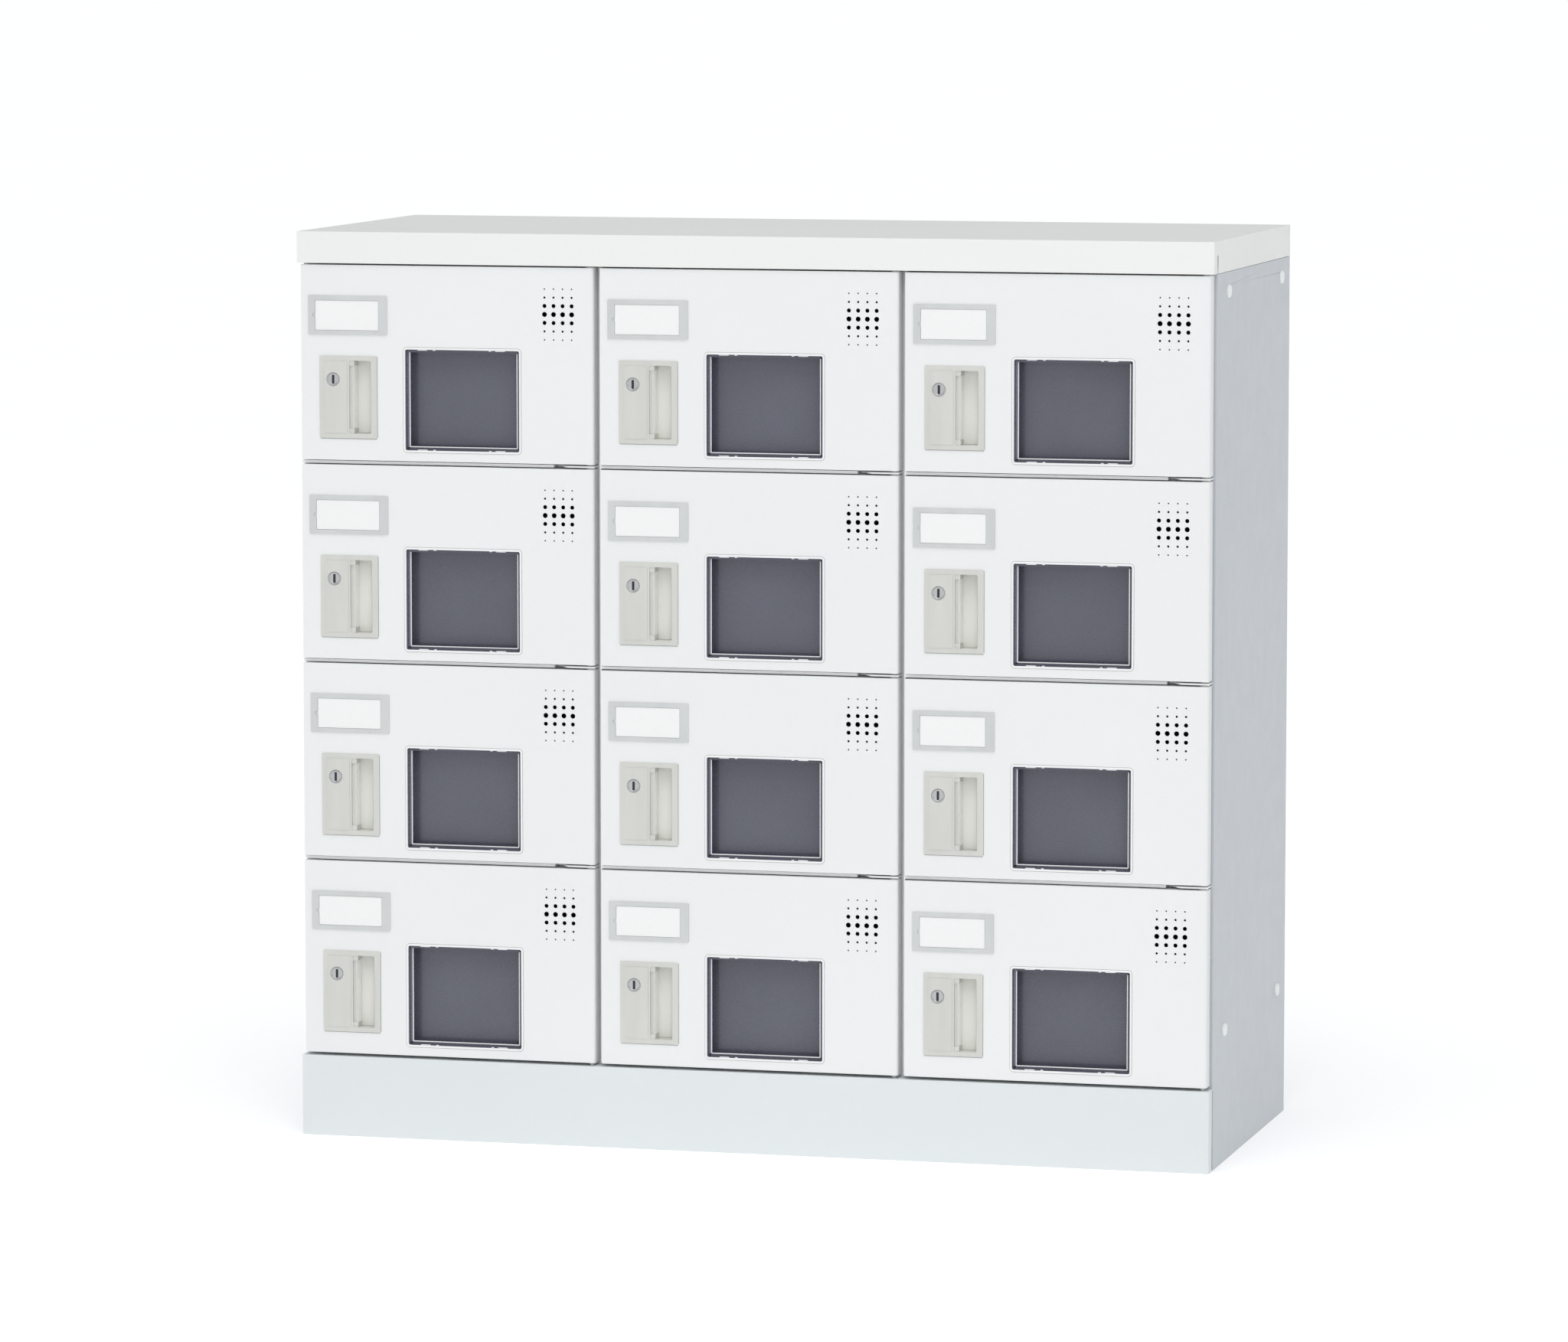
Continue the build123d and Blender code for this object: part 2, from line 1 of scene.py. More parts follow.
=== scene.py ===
"""Looks for a counter-height steel locker with twelve small doors. Metres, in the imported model's frame:
X to the viewer's right, doors facing -Y, Z up from the floor."""
import json
import math

import bmesh
import bpy
import numpy as np
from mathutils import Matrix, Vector

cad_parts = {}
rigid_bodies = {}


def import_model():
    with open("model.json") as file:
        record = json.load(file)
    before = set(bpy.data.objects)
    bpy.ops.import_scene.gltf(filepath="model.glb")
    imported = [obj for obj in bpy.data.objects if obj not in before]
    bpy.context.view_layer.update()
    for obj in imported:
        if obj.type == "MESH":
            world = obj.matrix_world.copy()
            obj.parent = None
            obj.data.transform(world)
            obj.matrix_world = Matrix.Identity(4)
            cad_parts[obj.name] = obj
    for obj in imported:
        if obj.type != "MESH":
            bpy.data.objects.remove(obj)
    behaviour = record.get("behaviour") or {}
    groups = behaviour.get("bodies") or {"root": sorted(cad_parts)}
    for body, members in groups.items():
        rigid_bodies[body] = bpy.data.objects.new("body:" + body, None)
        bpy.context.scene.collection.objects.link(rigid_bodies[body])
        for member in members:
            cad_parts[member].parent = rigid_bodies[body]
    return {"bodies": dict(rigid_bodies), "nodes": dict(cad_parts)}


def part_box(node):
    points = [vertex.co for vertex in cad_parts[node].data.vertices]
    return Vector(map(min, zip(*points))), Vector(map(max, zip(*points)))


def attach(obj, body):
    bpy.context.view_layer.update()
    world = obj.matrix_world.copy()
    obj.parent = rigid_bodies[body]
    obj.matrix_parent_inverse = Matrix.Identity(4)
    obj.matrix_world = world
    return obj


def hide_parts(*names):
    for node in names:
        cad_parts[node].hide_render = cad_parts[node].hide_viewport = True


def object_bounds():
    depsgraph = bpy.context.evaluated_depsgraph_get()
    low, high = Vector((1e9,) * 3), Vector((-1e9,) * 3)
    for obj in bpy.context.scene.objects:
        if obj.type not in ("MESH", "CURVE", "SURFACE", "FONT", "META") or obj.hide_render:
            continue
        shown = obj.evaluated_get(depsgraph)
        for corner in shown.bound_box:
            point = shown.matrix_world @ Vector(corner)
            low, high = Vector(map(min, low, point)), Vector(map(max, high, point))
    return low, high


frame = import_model()
cad_low, cad_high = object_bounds()

MM = 0.001
PLACES = [name[len("door_"):] for name in frame["bodies"] if name.startswith("door_")]
scene = bpy.context.scene


# ---- materials ----
def blank_material(name):
    """Material with only a Principled shader; returns the material, its nodes, its links and the shader."""
    material = bpy.data.materials.new(name)
    material.use_nodes = True
    nodes, links = material.node_tree.nodes, material.node_tree.links
    nodes.clear()
    output = nodes.new("ShaderNodeOutputMaterial")
    shader = nodes.new("ShaderNodeBsdfPrincipled")
    links.new(shader.outputs["BSDF"], output.inputs["Surface"])
    return material, nodes, links, shader


def noise(nodes, links, scale, detail=2.0, stretch=(1, 1, 1)):
    """Noise on Object coordinates, in cells per metre."""
    coordinates = nodes.new("ShaderNodeTexCoord")
    mapping = nodes.new("ShaderNodeMapping")
    mapping.inputs["Scale"].default_value = stretch
    texture = nodes.new("ShaderNodeTexNoise")
    texture.inputs["Scale"].default_value = scale
    texture.inputs["Detail"].default_value = detail
    links.new(coordinates.outputs["Object"], mapping.inputs["Vector"])
    links.new(mapping.outputs["Vector"], texture.inputs["Vector"])
    return texture


def spread(nodes, links, source, low, high, start=0.3, end=0.7):
    """A noise value carried to the range low to high."""
    ramp = nodes.new("ShaderNodeMapRange")
    ramp.inputs["From Min"].default_value = start
    ramp.inputs["From Max"].default_value = end
    ramp.inputs["To Min"].default_value = low
    ramp.inputs["To Max"].default_value = high
    links.new(source.outputs["Fac"], ramp.inputs["Value"])
    return ramp


def tinted(nodes, links, shader, source, colour, change, start=0.3, end=0.7):
    """Base colour that drifts between two shades of one colour."""
    mix = nodes.new("ShaderNodeMix")
    mix.data_type = "RGBA"
    mix.inputs["A"].default_value = (*[c * (1 - change) for c in colour], 1)
    mix.inputs["B"].default_value = (*[min(1, c * (1 + change)) for c in colour], 1)
    share = spread(nodes, links, source, 0, 1, start, end)
    links.new(share.outputs["Result"], mix.inputs["Factor"])
    links.new(mix.outputs["Result"], shader.inputs["Base Color"])
    return mix


def bumped(nodes, links, shader, layers):
    """Bumps one on another, each a texture with its height in metres."""
    below = None
    for texture, height, strength in layers:
        bump = nodes.new("ShaderNodeBump")
        bump.inputs["Strength"].default_value = strength
        bump.inputs["Distance"].default_value = height
        links.new(texture.outputs["Fac"], bump.inputs["Height"])
        if below is not None:
            links.new(below.outputs["Normal"], bump.inputs["Normal"])
        below = bump
    links.new(below.outputs["Normal"], shader.inputs["Normal"])


def powder_coat(name, colour, roughness=0.42, peel=0.00006):
    """Baked paint on sheet steel: fine orange peel, a slow waviness of the sheet and small drifts of
    shade and gloss."""
    material, nodes, links, shader = blank_material(name)
    slow = noise(nodes, links, 2.5, 3)
    middle = noise(nodes, links, 45, 3)
    fine = noise(nodes, links, 650, 1)
    tinted(nodes, links, shader, slow, colour, 0.012)
    gloss = spread(nodes, links, middle, roughness - 0.05, roughness + 0.05)
    links.new(gloss.outputs["Result"], shader.inputs["Roughness"])
    shader.inputs["Specular IOR Level"].default_value = 0.42
    bumped(nodes, links, shader, [(slow, 0.0015, 0.25), (fine, peel, 0.5)])
    return material


def moulded_plastic(name, colour, roughness=0.5, grain=900, depth=0.00005, change=0.03):
    """Injection-moulded plastic with a fine spark-eroded grain and faint flow marks."""
    material, nodes, links, shader = blank_material(name)
    flow = noise(nodes, links, 60, 2, (1, 1, 0.25))
    fine = noise(nodes, links, grain, 3)
    tinted(nodes, links, shader, flow, colour, change)
    gloss = spread(nodes, links, fine, roughness - 0.07, roughness + 0.09)
    links.new(gloss.outputs["Result"], shader.inputs["Roughness"])
    shader.inputs["Specular IOR Level"].default_value = 0.45
    bumped(nodes, links, shader, [(fine, depth, 0.7)])
    return material


def bare_metal(name, colour, roughness, stretch, grain=300, depth=0.00002, change=0.06):
    """Plated or drawn metal with marks drawn out along one direction."""
    material, nodes, links, shader = blank_material(name)
    streaks = noise(nodes, links, grain, 4, stretch)
    tinted(nodes, links, shader, streaks, colour, change)
    gloss = spread(nodes, links, streaks, roughness * 0.7, roughness * 1.4)
    links.new(gloss.outputs["Result"], shader.inputs["Roughness"])
    shader.inputs["Metallic"].default_value = 1.0
    bumped(nodes, links, shader, [(streaks, depth, 0.5)])
    return material


def smoked_sheet(name, colour):
    """Dark smoked acrylic with a faint cloudiness in its tint, its surface and its gloss."""
    material, nodes, links, shader = blank_material(name)
    cloud = noise(nodes, links, 14, 2)
    haze = noise(nodes, links, 700, 2)
    tinted(nodes, links, shader, cloud, colour, 0.06)
    gloss = spread(nodes, links, haze, 0.25, 0.29)
    links.new(gloss.outputs["Result"], shader.inputs["Roughness"])
    shader.inputs["IOR"].default_value = 1.49
    shader.inputs["Coat Weight"].default_value = 0.25
    shader.inputs["Coat Roughness"].default_value = 0.06
    bumped(nodes, links, shader, [(cloud, 0.0001, 0.1)])
    return material


def card_stock(name):
    """Uncoated white card with paper fibres."""
    material, nodes, links, shader = blank_material(name)
    fibres = noise(nodes, links, 1600, 4, (1, 1, 0.3))
    tinted(nodes, links, shader, fibres, (0.86, 0.865, 0.86), 0.02)
    gloss = spread(nodes, links, fibres, 0.45, 0.65)
    links.new(gloss.outputs["Result"], shader.inputs["Roughness"])
    bumped(nodes, links, shader, [(fibres, 0.00002, 0.4)])
    return material


DOOR_PAINT = powder_coat("door_paint", (0.815, 0.825, 0.823))
# painted light: a brighter copy of the white paint, so the frame, the ribs in the gaps and the inside stay
# pale in their shade
BRIGHTENED_FRAME_PAINT = powder_coat("frame_paint_painted_light", (0.88, 0.885, 0.89))
# painted shade: the sides' colour is the front's white paint darkened and made bluer, for the shade on the
# sides
SHADED_SIDE_PAINT = powder_coat("side_paint_painted_shade", (0.545, 0.575, 0.603))
CAP_PAINT = powder_coat("cap_paint", (0.83, 0.837, 0.822))
# painted shade: the plinth's colour is the doors' white paint darkened, for the light falling off towards the
# bottom
SHADED_PLINTH_PAINT = powder_coat("plinth_paint_painted_shade", (0.725, 0.76, 0.77))
BEIGE_PLASTIC = moulded_plastic("beige_plastic", (0.625, 0.625, 0.59))
WHITE_PLASTIC = moulded_plastic("white_plastic", (0.85, 0.87, 0.87), roughness=0.35, change=0.01)
WINDOW_PLASTIC = moulded_plastic("window_plastic", (0.86, 0.865, 0.87), roughness=0.22, change=0.01)
BUSH_NYLON = moulded_plastic("bush_nylon", (0.78, 0.78, 0.74), roughness=0.4)
LOCK_CHROME = bare_metal("lock_chrome", (0.50, 0.50, 0.51), 0.2, (1, 1, 1), grain=900)
# painted light: hinge plates paler than the doors' paint, so they look bright in the shaded gaps
BRIGHTENED_HINGE_PAINT = powder_coat("hinge_paint_painted_light", (0.84, 0.85, 0.85), roughness=0.38)
SMOKED = smoked_sheet("smoked_acrylic", (0.100, 0.104, 0.137))
# painted light: a paler copy of the smoked sheet for the lit left wall of the window
LIT_SMOKED_SHEET = smoked_sheet("smoked_painted_light", (0.19, 0.195, 0.25))
CARD_FRAME = moulded_plastic("card_frame_plastic", (0.60, 0.615, 0.61))
# pale plastic for the real snap tabs, and for strips that are a painted highlight on the window's clear edge
PALE_TABS_AND_HIGHLIGHT = moulded_plastic("pale_tabs_and_painted_highlight", (0.86, 0.87, 0.88), roughness=0.22, change=0.01)
# painted light: the pocket floor in a much paler copy of the case's beige, lifting the shade in the deep
# pocket
BRIGHTENED_POCKET_PLASTIC = moulded_plastic("pocket_plastic_painted_light", (0.82, 0.82, 0.775))
# painted light: near-white sheet on the grip rib's right face, lifting its shade
RIB_SIDE_PAINTED_LIGHT = moulded_plastic("rib_side_painted_light", (0.95, 0.95, 0.92))
SHADOW_SEAM = moulded_plastic("shadow_seam", (0.36, 0.36, 0.36), change=0.02)
# painted shade: a near-black plate standing for the shade inside the keyway
KEYWAY_SHADE = moulded_plastic("keyway_painted_shade", (0.02, 0.02, 0.022), change=0.2)
CARD = card_stock("card_stock")

# ---- copies of CAD nodes with rounded edges ----
MERGE_DISTANCE = 1e-6
FLAT_ANGLE = math.radians(0.5)
SHARP_ANGLE = math.radians(32)


def cad_solids(node):
    """The separate solids of a CAD node, largest first, each as a list of corners and a list of faces,
    with its doubles merged and its flat faces cut afresh into even triangles and quads."""
    shape = bmesh.new()
    shape.from_mesh(frame["nodes"][node].data)
    bmesh.ops.remove_doubles(shape, verts=shape.verts, dist=MERGE_DISTANCE)
    bmesh.ops.dissolve_limit(shape, angle_limit=FLAT_ANGLE, verts=shape.verts, edges=shape.edges)
    many_sided = [face for face in shape.faces if len(face.verts) > 4]
    bmesh.ops.triangulate(shape, faces=many_sided, quad_method="BEAUTY", ngon_method="BEAUTY")
    unseen = set(shape.verts)
    solids = []
    while unseen:
        group, edge_of_group = set(), [next(iter(unseen))]
        while edge_of_group:
            corner = edge_of_group.pop()
            if corner in group:
                continue
            group.add(corner)
            edge_of_group += [edge.other_vert(corner) for edge in corner.link_edges]
        unseen -= group
        order = {corner: i for i, corner in enumerate(sorted(group, key=lambda v: v.index))}
        corners = [tuple(corner.co) for corner in order]
        faces = [[order[v] for v in face.verts] for face in shape.faces if face.verts[0] in order]
        solids.append((corners, faces))
    shape.free()
    return sorted(solids, key=lambda s: -np.prod(np.ptp(np.array(s[0]), axis=0)))


def add_piece(name, corners, faces, material, body, slot=None):
    """A smooth-shaded mesh object at the origin that rides on a body."""
    mesh = bpy.data.meshes.new(name)
    mesh.from_pydata(corners, [], faces)
    mesh.polygons.foreach_set("use_smooth", np.ones(len(mesh.polygons), bool))
    mesh.set_sharp_from_angle(angle=SHARP_ANGLE)
    mesh.materials.append(material)
    piece = bpy.data.objects.new(name, mesh)
    scene.collection.objects.link(piece)
    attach(piece, body)
    return piece


def round_edges(piece, width, segments=2):
    bevel = piece.modifiers.new("rounded_edges", "BEVEL")
    bevel.width = width
    bevel.segments = segments
    bevel.limit_method = "ANGLE"
    bevel.angle_limit = SHARP_ANGLE
    bevel.harden_normals = True
    bevel.use_clamp_overlap = True
    return piece


def softened(node, body, material, width, slot=None, segments=2):
    """Rounded copies of a CAD node's solids in one piece that stands for the node."""
    corners, faces = [], []
    for solid_corners, solid_faces in cad_solids(node):
        first = len(corners)
        corners += solid_corners
        faces += [[first + i for i in face] for face in solid_faces]
    piece = add_piece(node + "_shell", corners, faces, material, body, slot)
    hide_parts(node)
    return round_edges(piece, width, segments)


# ---- surfaces worked out with numpy ----
def grid_faces(rows, columns, wrap_rows, wrap_columns):
    """Quads between neighbours of a rows by columns grid, with its last row or column joined to the first
    where it wraps."""
    i = np.arange(rows if wrap_rows else rows - 1)[:, None]
    j = np.arange(columns if wrap_columns else columns - 1)[None, :]
    below, right = (i + 1) % rows, (j + 1) % columns
    quads = [i * columns + j, i * columns + right, below * columns + right, below * columns + j]
    return np.stack(np.broadcast_arrays(*quads), -1).reshape(-1, 4)


def ring_piece(name, box, corner_radius, profile, material, body, slot):
    """A closed profile carried round a rectangle with rounded corners in the plane of the doors.
    Each profile point is (distance outward from the rectangle, depth); at a corner's angle t the point is the
    corner's centre plus (radius + distance) times (cos t, sin t)."""
    (x0, x1), (z0, z1) = box
    turn = np.linspace(0, math.pi / 2, 7)
    angles = np.concatenate([turn + quarter * math.pi / 2 for quarter in range(4)])
    centre_x = np.repeat([x1 - corner_radius, x0 + corner_radius, x0 + corner_radius, x1 - corner_radius], 7)
    centre_z = np.repeat([z1 - corner_radius, z1 - corner_radius, z0 + corner_radius, z0 + corner_radius], 7)
    outward, depth = np.array(profile, float).T
    reach = corner_radius + outward[None, :]
    x = centre_x[:, None] + reach * np.cos(angles)[:, None]
    z = centre_z[:, None] + reach * np.sin(angles)[:, None]
    y = np.broadcast_to(depth[None, :], x.shape)
    corners = np.stack([x, y, z], -1).reshape(-1, 3)
    faces = grid_faces(len(angles), len(depth), True, True)
    return add_piece(name, corners.tolist(), faces.tolist(), material, body, slot)


def turned_piece(name, centre, axis, profile, material, body, slot, steps=48):
    """A profile of (radius, height) turned about an axis through a centre: corner = centre + radius times
    (cos t across + sin t up) + height times the axis. A radius of 0 at an end closes it with a point."""
    axis = np.array(axis, float)
    across = np.array((0, 0, 1.0)) if abs(axis[2]) < 0.5 else np.array((1.0, 0, 0))
    up = np.cross(axis, across)
    radius, height = np.array(profile, float).T
    t = np.linspace(0, 2 * math.pi, steps, endpoint=False)
    round_way = np.cos(t)[:, None] * across + np.sin(t)[:, None] * up
    corners = centre + radius[:, None, None] * round_way + height[:, None, None] * axis
    faces = grid_faces(len(radius), steps, False, True)
    piece = add_piece(name, corners.reshape(-1, 3).tolist(), faces.tolist(), material, body, slot)
    close_and_orient(piece)
    return piece


def close_and_orient(piece):
    """Merges the doubles at poles and seams and points the faces outward."""
    shape = bmesh.new()
    shape.from_mesh(piece.data)
    bmesh.ops.remove_doubles(shape, verts=shape.verts, dist=MERGE_DISTANCE)
    bmesh.ops.dissolve_degenerate(shape, edges=shape.edges, dist=MERGE_DISTANCE)
    bmesh.ops.recalc_face_normals(shape, faces=shape.faces)
    shape.to_mesh(piece.data)
    shape.free()
    piece.data.set_sharp_from_angle(angle=SHARP_ANGLE)


def sheet_piece(name, box, front, thickness, crown, material, body, slot, steps=12):
    """A thin plate across a rectangle, front and back grids joined round the rim. Its face stands forward in
    the middle by crown times (1 - u^2)(1 - v^2), u and v from -1 to 1 across it."""
    (x0, x1), (z0, z1) = box
    u, v = np.meshgrid(np.linspace(-1, 1, steps), np.linspace(-1, 1, steps))
    x = (x0 + x1) / 2 + u * (x1 - x0) / 2
    z = (z0 + z1) / 2 + v * (z1 - z0) / 2
    face = front - crown * (1 - u ** 2) * (1 - v ** 2)
    layers = [np.stack([x, y, z], -1).reshape(-1, 3) for y in (face, face + thickness)]
    front_faces = grid_faces(steps, steps, False, False)
    back_faces = front_faces[:, ::-1] + steps * steps
    i = np.arange(steps)
    along = i[:-1]
    rim = np.concatenate([along, along * steps + steps - 1, steps * steps - 1 - along,
                          steps * (steps - 1) - along * steps])
    after = np.roll(rim, -1)
    rim_faces = np.stack([rim, rim + steps * steps, after + steps * steps, after], -1)
    faces = np.concatenate([front_faces, back_faces, rim_faces])
    piece = add_piece(name, np.concatenate(layers).tolist(), faces.tolist(), material, body, slot)
    close_and_orient(piece)
    return piece


def pillow_piece(name, box, power, material, body, slot, steps=12):
    """A rounded block: corner = centre + half size times (c(v) c(u), c(v) s(u), s(v)), where c and s are the
    cosine and sine raised to 2 / power with their sign kept, u round the block and v from foot to top."""
    low, high = np.array(box).T
    u = np.linspace(-math.pi, math.pi, 2 * steps, endpoint=False)[None, :]
    v = np.linspace(-math.pi / 2, math.pi / 2, steps)[:, None]
    bend = lambda value: np.sign(value) * np.abs(value) ** (2 / power)
    shape = np.stack(np.broadcast_arrays(bend(np.cos(v)) * bend(np.cos(u)), bend(np.cos(v)) * bend(np.sin(u)),
                                         bend(np.sin(v)) + 0 * u), -1)
    corners = (low + high) / 2 + (high - low) / 2 * shape
    faces = grid_faces(steps, 2 * steps, False, True)
    piece = add_piece(name, corners.reshape(-1, 3).tolist(), faces.tolist(), material, body, slot)
    close_and_orient(piece)
    return piece


def node_box(node):
    low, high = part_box(node)
    return np.array(low), np.array(high)


# ---- windows ----
WINDOW_BORDER = 2.0 * MM     # face of the frame
WINDOW_CORNER = 1.6 * MM
WINDOW_WALL = 1.2 * MM
WINDOW_LIP = 0.45 * MM       # slope from the frame's face to its edges
WINDOW_ROUNDING = 0.2 * MM
PANE_THICKNESS = 2.5 * MM
PANE_SETBACK = 0.1 * MM      # between the sheet's back and the frame's
LINING = 0.7 * MM            # smoked walls inside the window's frame
LINING_START = 0.5 * MM      # behind the door's face
LINING_SLOPE = 0.9 * MM
LEDGE_DEPTH = 5.6 * MM       # smoked ledge in front of the sheet, behind the frame's lip
LEDGE_THICKNESS = 0.6 * MM
LEDGE_MARGIN = 0.3 * MM
LEDGE_PROUD = 0.15 * MM      # paler strip on the ledge's left run, painted light on the smoked wall
LEDGE_STRIP = 0.2 * MM
HIGHLIGHT_STRIP_WIDTH = 0.9 * MM              # width of the pale strip at the ledge's inner edge, a painted highlight on its clear edge
HIGHLIGHT_STRIP_INSET = 2.75 * MM       # its distance from the frame
HIGHLIGHT_STRIP_PROUD = 0.5 * MM
HIGHLIGHT_STRIP_THICKNESS = 1.1 * MM
HIGHLIGHT_STRIP_CROWN = 0.1 * MM
SHADOW_LINE_WIDTH = 0.35 * MM             # width of the dark lines of painted shadow in the fine joints
SHADOW_LINE_PROUD = 0.03 * MM
SHADOW_LINE_DEPTH = 0.2 * MM
TAB_HEIGHT = 0.8 * MM
TAB_FRONT, TAB_BACK = 0.2 * MM, 1.4 * MM   # behind the door's face
TAB_POWER = 6
TABS = ((14.0, 24.0), (29.5, 32.2), (85.5, 88.2), (92.0, 102.0))   # along the window, from its left edge
FEW_STEPS, SMALL_STEPS = 4, 6              # grid steps of the smallest pieces


def window(place):
    """Moulded frame with a rounded lip, the smoked sheet at its back and smoked walls between them."""
    body, node = f"door_{place}", f"window_{place}"
    low, high = node_box(node)
    face = node_box(f"door_panel_{place}")[0][1]
    opening = ((low[0] + WINDOW_BORDER, high[0] - WINDOW_BORDER),
               (low[2] + WINDOW_BORDER, high[2] - WINDOW_BORDER))
    profile = [(0, high[1]), (WINDOW_WALL, high[1]), (WINDOW_WALL, face), (WINDOW_BORDER, face),
               (WINDOW_BORDER, low[1] + WINDOW_LIP), (WINDOW_BORDER - WINDOW_LIP, low[1]),
               (WINDOW_LIP, low[1]), (0, low[1] + WINDOW_LIP)]
    rim = ring_piece(f"window_frame_{place}", opening, WINDOW_CORNER, profile, WINDOW_PLASTIC, body,
                     "white_plastic")
    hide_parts(node)
    round_edges(rim, WINDOW_ROUNDING)
    pane_front = high[1] - PANE_THICKNESS
    pane = sheet_piece(f"window_pane_{place}", opening, pane_front, PANE_THICKNESS - PANE_SETBACK, 0.0,
                       SMOKED, body, "smoked_window")
    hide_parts(node)
    lining = [(0, face + LINING_START), (0, pane_front), (-LINING, pane_front),
              (-LINING, face + LINING_SLOPE), (-LINING * 0.6, face + LINING_START)]
    ring_piece(f"window_lining_{place}", opening, WINDOW_CORNER, lining, SMOKED, body, "smoked_window")
    window_ledge(place, opening, low[1] + LEDGE_DEPTH)
    window_shadow_line(place, opening, face)
    window_tabs(place, opening, low[0], face)


def window_ledge(place, opening, front):
    """Smoked ledge round the opening, with pale strips on three sides as a painted highlight on its clear
    edge and a paler strip on the left as painted light.
    """
    body = f"door_{place}"
    flange = [(0, front + LEDGE_THICKNESS), (0, front), (-HIGHLIGHT_STRIP_INSET, front),
              (-HIGHLIGHT_STRIP_INSET, front + LEDGE_THICKNESS)]
    ring_piece(f"window_flange_{place}", opening, WINDOW_CORNER, flange, SMOKED, body, "smoked_window")
    (x0, x1), (z0, z1) = opening
    runs = {"left": ((x0 + HIGHLIGHT_STRIP_INSET, x0 + HIGHLIGHT_STRIP_INSET + HIGHLIGHT_STRIP_WIDTH), (z0 + HIGHLIGHT_STRIP_INSET, z1 - HIGHLIGHT_STRIP_INSET)),
            "right": ((x1 - HIGHLIGHT_STRIP_INSET - HIGHLIGHT_STRIP_WIDTH, x1 - HIGHLIGHT_STRIP_INSET), (z0 + HIGHLIGHT_STRIP_INSET, z1 - HIGHLIGHT_STRIP_INSET)),
            "bottom": ((x0 + HIGHLIGHT_STRIP_INSET, x1 - HIGHLIGHT_STRIP_INSET), (z0 + HIGHLIGHT_STRIP_INSET, z0 + HIGHLIGHT_STRIP_INSET + HIGHLIGHT_STRIP_WIDTH))}
    # pale strips on three sides: painted highlight
    for side, box in runs.items():
        sheet_piece(f"window_rim_{side}_{place}", box, front - HIGHLIGHT_STRIP_PROUD, HIGHLIGHT_STRIP_THICKNESS, HIGHLIGHT_STRIP_CROWN,
                    PALE_TABS_AND_HIGHLIGHT, body, "white_plastic", SMALL_STEPS)
    # paler smoked strip on the left run: painted light
    strip = ((x0 + LEDGE_MARGIN, x0 + HIGHLIGHT_STRIP_INSET), (z0 + HIGHLIGHT_STRIP_INSET, z1 - 0.5 * HIGHLIGHT_STRIP_INSET))
    sheet_piece(f"window_ledge_{place}", strip, front - LEDGE_PROUD, LEDGE_STRIP, 0.0, LIT_SMOKED_SHEET, body,
                "smoked_window", SMALL_STEPS)


def window_shadow_line(place, opening, face):
    """A dark line of painted shadow in the fine joint between the frame and the door."""
    outer = WINDOW_BORDER + SHADOW_LINE_WIDTH
    front, back = face - SHADOW_LINE_PROUD, face + SHADOW_LINE_DEPTH
    seam = [(WINDOW_BORDER, back), (WINDOW_BORDER, front), (outer, front), (outer, back)]
    ring_piece(f"window_shadow_line_{place}", opening, WINDOW_CORNER, seam, SHADOW_SEAM, f"door_{place}",
               "white_plastic")


def window_tabs(place, opening, left, face):
    """Small snap tabs along the top and bottom edges of the opening."""
    for number, (start, end) in enumerate(TABS):
        for edge, z, way in (("top", opening[1][1], -1), ("bottom", opening[1][0], 1)):
            box = ((left + start * MM, left + end * MM), (face + TAB_FRONT, face + TAB_BACK),
                   tuple(sorted((z, z + way * TAB_HEIGHT))))
            pillow_piece(f"window_tab_{edge}_{number}_{place}", box, TAB_POWER, PALE_TABS_AND_HIGHLIGHT, f"door_{place}",
                         "white_plastic")


# ---- lock case and name card ----
CARD_OPENING = (7.0, 4.5, 64.0, 29.0)   # left, top, width and height within the card frame
CARD_MARGIN = 0.35 * MM
CARD_RECESS = 0.8 * MM
CARD_LIFT = 0.35 * MM
CARD_THICKNESS = 0.3 * MM
CARD_CROWN = 0.1 * MM
CASE_PIECES = (("lock_housing", BEIGE_PLASTIC, 0.45), ("card_frame", CARD_FRAME, 0.35),
               ("hinge_bush_low", BUSH_NYLON, 0.2), ("hinge_bush_high", BUSH_NYLON, 0.2))   # rounding in mm
FIELD = 0.5 * MM             # the lock's raised field in front of the case's plate
CASE_PLATE = 1.0 * MM
POCKET = (30.0, 4.5, 22.0, 70.5)        # left, top, width and height within the case
POCKET_DEPTH = 14.0 * MM
POCKET_BLOCK = 5.0 * MM
FLOOR_MARGIN = 0.3 * MM
FLOOR_THICKNESS = 0.25 * MM
FLOOR_CROWN = -0.2 * MM
GRIP_WEB = (0.05 * MM, 2.55 * MM)       # from the pocket's left wall
GRIP_WEB_DEPTH = (2.0 * MM, 6.0 * MM)   # start behind the plate's face, and thickness
GRIP_SIDE = (4.15 * MM, 4.35 * MM)
GRIP_SIDE_DEPTH = (1.8 * MM, 11.5 * MM)
POCKET_SHADOW_MARGIN = 1.5 * MM
POCKET_SHADOW_DEPTH = (0.25 * MM, 0.6 * MM)
CASE_SHADOW_UNDER = 0.7 * MM             # heights and widths of the painted shadow strips round the case
CASE_SHADOW_RIGHT = 0.4 * MM
CASE_SHADOW_MARGIN = 0.8 * MM
CASE_SHADOW_END = 0.5 * MM
CASE_SHADOW_PROUD = 0.04 * MM
CASE_SHADOW_THICKNESS = 0.3 * MM


